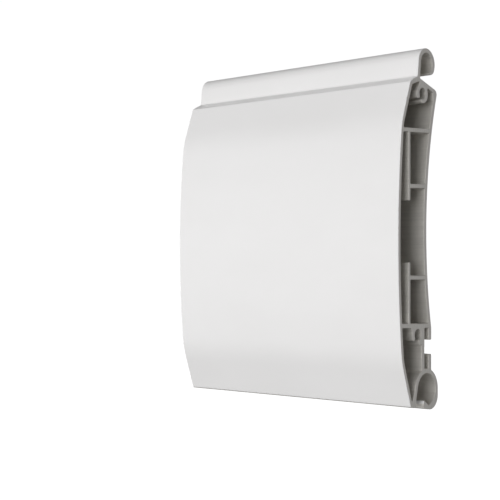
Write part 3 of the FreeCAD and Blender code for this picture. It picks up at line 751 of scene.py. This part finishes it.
def circle(cy, cz, r, n=40):
    return [(cy + r * math.cos(2 * math.pi * k / n), cz + r * math.sin(2 * math.pi * k / n)) for k in range(n)]


def slab(build, outline, holes, x0, x1, bevel, bevel_holes=0.15, slot=0):
    """Plate between x0 and x1 with the x0 side bevelled, holes included."""
    sign = 1.0 if x1 > x0 else -1.0
    front_loops, back_loops = [], []
    for k, points in enumerate([outline] + holes):
        if (turned_area(points) < 0) == (k == 0):
            points = points[::-1]
        b = bevel if k == 0 else bevel_holes
        a = build.loop(inset(points, b), x0, edge=1.0)
        m = build.loop(inset(points, b * 0.3), x0 + sign * b * 0.3, edge=1.0)
        c = build.loop(points, x0 + sign * b, edge=0.6)
        d = build.loop(points, x1, edge=0.0)
        build.bridge(a, m, slot)
        build.bridge(m, c, slot)
        build.bridge(c, d, slot)
        front_loops.append(a)
        back_loops.append(d)
    build.cap(front_loops, slot)
    build.cap(back_loops, slot)


lock = Build()
screw_holes = [circle(UY, UZ, 2.2), circle(LY, LZ, 2.2)]
slab(lock, closing_outline, screw_holes, -46.3, -45.5, 0.12)
slab(lock, flange_outline, screw_holes, -46.6, -45.5, 0.05)
rim_inner = inset(flange_outline, 1.5)
slab(lock, flange_outline, [rim_inner], -47.5, -46.55, 0.35, 0.2)
for cy, cz in ((UY, UZ), (LY, LZ)):
    slab(lock, circle(cy, cz, 4.2, 56), [circle(cy, cz, 2.2)], -47.5, -46.55, 0.2, 0.2)


def strut(build, y0, z0, y1, z1, width, x0, x1):
    d = Vector((y1 - y0, z1 - z0)).normalized()
    n = Vector((-d.y, d.x)) * (width / 2)
    slab(build, [(y0 + n.x, z0 + n.y), (y0 - n.x, z0 - n.y), (y1 - n.x, z1 - n.y), (y1 + n.x, z1 + n.y)], [], x0, x1, 0.12)


for z in (-20.0, -32.5, -45.0, -57.5, -70.0, -92.5):
    strut(lock, flange_at(z) + 0.9, z, back_flange_at(z) - 0.9 if z > -81 else arm_flange - 0.9, z, 1.1, -47.35, -46.55)
strut(lock, -6.6, -14.5, -6.6, -79.0, 1.0, -47.35, -46.55)
# ejector pin marks
for cy, cz in ((-10.3, -26.3), (-2.9, -38.8), (-10.3, -51.2), (-2.9, -63.8)):
    slab(lock, circle(cy, cz, 1.3, 32), [circle(cy, cz, 1.12, 32)], -46.68, -46.58, 0.03, 0.03)

# tongue with rounded free end and draft grooves
tongue_loops = []
corner = 0.35


def tongue_ring(shrink, cut=0.8):
    y0, y1, z0, z1 = -12.7 + shrink, -10.4 - shrink, -76.5 + shrink, -26.0 - shrink
    path = [(y0, z0), (y1, z0)]
    for k in range(8):
        zc = z0 + (z1 - z0) * (k + 0.5) / 8
        path += [(y1, zc - 1.6), (y1 - 0.45, zc - 1.2), (y1 - 0.45, zc + 1.2), (y1, zc + 1.6)]
    path += [(y1, z1), (y0, z1)]
    return path


ring_steps = [(-45.55, 0.0), (-31.3, 0.0), (-30.95, 0.08), (-30.65, 0.26), (-30.5, 0.5)]
previous = None
for x, shrink in ring_steps:
    current = lock.loop(tongue_ring(shrink), x, edge=0.0 if shrink == 0 else 1.0)
    if previous:
        lock.bridge(previous, current, 0)
    else:
        first = current
    previous = current
lock.cap([previous], 0)
lock.cap([first], 0)
end_lock = new_object("end_lock_moulding", lock.verts, lock.faces, lock.slots, [NYLON], lock.extra, 35.0)
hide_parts("end_lock")
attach(end_lock, "root")


# ------------------------------------------------------------ screws
def end_screw(name, node_name, cy, cz, turn):
    made = Build()
    n = 72
    angles = [2 * math.pi * k / n + turn for k in range(n)]

    def star(scale=1.0):
        out = []
        for a in angles:
            wave = 0.5 + 0.5 * math.cos(6 * (a - turn))
            r = (0.97 + 0.33 * wave ** 0.8) * scale
            out.append((cy + r * math.cos(a), cz + r * math.sin(a)))
        return out

    def disc(r):
        return [(cy + r * math.cos(a), cz + r * math.sin(a)) for a in angles]

    def between(r0, r1, t):
        a, b = star(r0), disc(r1)
        return [(p[0] * (1 - t) + q[0] * t, p[1] * (1 - t) + q[1] * t) for p, q in zip(a, b)]

    top = -49.8
    rows = [(star(0.55), top + 1.30), (star(0.93), top + 1.24), (star(0.97), top + 0.16), (star(1.04), top + 0.05),
            (between(1.08, 1.75, 0.5), top + 0.02), (disc(1.75), top + 0.045), (disc(2.2), top + 0.11), (disc(2.65), top + 0.26),
            (disc(3.0), top + 0.48), (disc(3.25), top + 0.78), (disc(3.42), top + 1.15), (disc(3.5), top + 1.6),
            (disc(3.5), top + 2.1), (disc(3.44), top + 2.24), (disc(3.3), top + 2.3), (disc(1.55), top + 2.3)]
    loops = []
    for points, x in rows:
        loops.append(made.loop(points, x))
    for a, b in zip(loops, loops[1:]):
        made.bridge(a, b, 0)
    made.cap([loops[0]], 0)
    # rolled thread
    pitch, start, length = 1.5, -47.5, 14.0
    steps = 150
    last = loops[-1]
    for k in range(1, steps + 1):
        x = length * k / steps
        points = []
        for a in angles:
            phase = (x / pitch - a / (2 * math.pi)) % 1.0
            crest = max(0.0, 1.0 - abs(phase - 0.5) / 0.22)
            taper = 1.0 if x < length - 2.4 else max(0.42, 1.0 - 0.58 * (x - length + 2.4) / 2.4)
            lead = min(1.0, x / 1.2)
            r = 1.55 * taper + 0.44 * crest * taper * lead
            points.append((cy + r * math.cos(a), cz + r * math.sin(a)))
        current = made.loop(points, start + x)
        made.bridge(last, current, 0)
        last = current
    made.cap([last], 0)
    obj = new_object(name, made.verts, made.faces, made.slots, [ZINC], None, 32.0)
    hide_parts(node_name)
    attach(obj, "root")
    return obj


end_screw("upper_pan_screw", "upper_end_screw", UY, UZ, 0.35)
end_screw("lower_pan_screw", "lower_end_screw", LY, LZ, 0.9)

# ------------------------------------------------------------ stage
floor_mesh = bpy.data.meshes.new("studio_floor")
reach, level = 8.0, -0.17
floor_mesh.from_pydata([(-reach, -reach, level), (reach, -reach, level), (reach, reach, level), (-reach, reach, level)],
                       [], [(0, 1, 2, 3)])
floor = bpy.data.objects.new("studio_floor", floor_mesh)
bpy.context.scene.collection.objects.link(floor)
floor_mat, floor_tree, floor_shader = material("studio_floor")
floor_shader.inputs["Base Color"].default_value = (0.12, 0.12, 0.12, 1.0)
floor_shader.inputs["Roughness"].default_value = 0.9
floor_shader.inputs["Emission Color"].default_value = (1.0, 1.0, 1.0, 1.0)
floor_shader.inputs["Emission Strength"].default_value = 1.0
floor_mesh.materials.append(floor_mat)
floor.visible_diffuse = False
floor.visible_glossy = False
floor.visible_shadow = False

# studio light: brighter in front, dimmer above and below
world = bpy.data.worlds.new("studio")
bpy.context.scene.world = world
world.use_nodes = True
wt = world.node_tree
wt.nodes.clear()
sky_at = node(wt, "ShaderNodeTexCoord")
sky_parts = node(wt, "ShaderNodeSeparateXYZ")
wt.links.new(sky_at.outputs["Generated"], sky_parts.inputs["Vector"])
ahead = spread(wt, sky_parts.outputs["Y"], 1.0, -1.0, 0.14, 0.46)
above = spread(wt, sky_parts.outputs["Z"], 0.45, 0.95, 1.08, 0.42, True)
below = spread(wt, sky_parts.outputs["Z"], -0.15, -0.75, 1.0, 0.52, True)
band = maths(wt, "MULTIPLY", ahead, maths(wt, "MULTIPLY", above, below))
light = node(wt, "ShaderNodeBackground")
light.inputs["Color"].default_value = (1.0, 1.0, 1.0, 1.0)
wt.links.new(band, light.inputs["Strength"])
white = node(wt, "ShaderNodeBackground")
white.inputs["Color"].default_value = (1.0, 1.0, 1.0, 1.0)
white.inputs["Strength"].default_value = 1.02
path_node = node(wt, "ShaderNodeLightPath")
choose = node(wt, "ShaderNodeMixShader")
wt.links.new(path_node.outputs["Is Camera Ray"], choose.inputs["Fac"])
wt.links.new(light.outputs["Background"], choose.inputs[1])
wt.links.new(white.outputs["Background"], choose.inputs[2])
world_out = node(wt, "ShaderNodeOutputWorld")
wt.links.new(choose.outputs["Shader"], world_out.inputs["Surface"])


def softbox(name, position, target, size_x, size_y, power):
    lamp = bpy.data.lights.new(name, "AREA")
    lamp.shape = "RECTANGLE"
    lamp.size, lamp.size_y = size_x, size_y
    lamp.energy = power
    obj = bpy.data.objects.new(name, lamp)
    obj.location = position
    obj.rotation_euler = (Vector(target) - Vector(position)).to_track_quat("-Z", "Y").to_euler()
    obj.visible_camera = False
    bpy.context.scene.collection.objects.link(obj)
    return obj


softbox("front_softbox", (0.29, -1.155, 0.02), (0.0, 0.0, -0.05), 0.5, 0.5, 6.0)
softbox("side_softbox", (-0.79, -0.90, -0.03), (0.0, 0.0, -0.05), 0.8, 0.62, 3.2)
softbox("back_softbox", (-0.66, 1.02, -0.02), (0.0, 0.0, -0.05), 0.8, 0.8, 2.8)

# ------------------------------------------------------------ camera
camera_data = bpy.data.cameras.new("photo_camera")
camera_data.sensor_width = 36.0
camera_data.lens = 1119.0 / 500.0 * 36.0
camera_data.shift_y = 21.3 / 500.0
camera_data.clip_start, camera_data.clip_end = 0.01, 50.0
camera = bpy.data.objects.new("photo_camera", camera_data)
camera.location = (0.23068, -0.29383, -0.06376)
camera.rotation_euler = (math.radians(90.0), 0.0, math.radians(41.2))
bpy.context.scene.collection.objects.link(camera)
bpy.context.scene.camera = camera

settings = bpy.context.scene.view_settings
settings.view_transform = "Standard"
settings.look = "None"
settings.exposure = 0.0
settings.gamma = 1.0
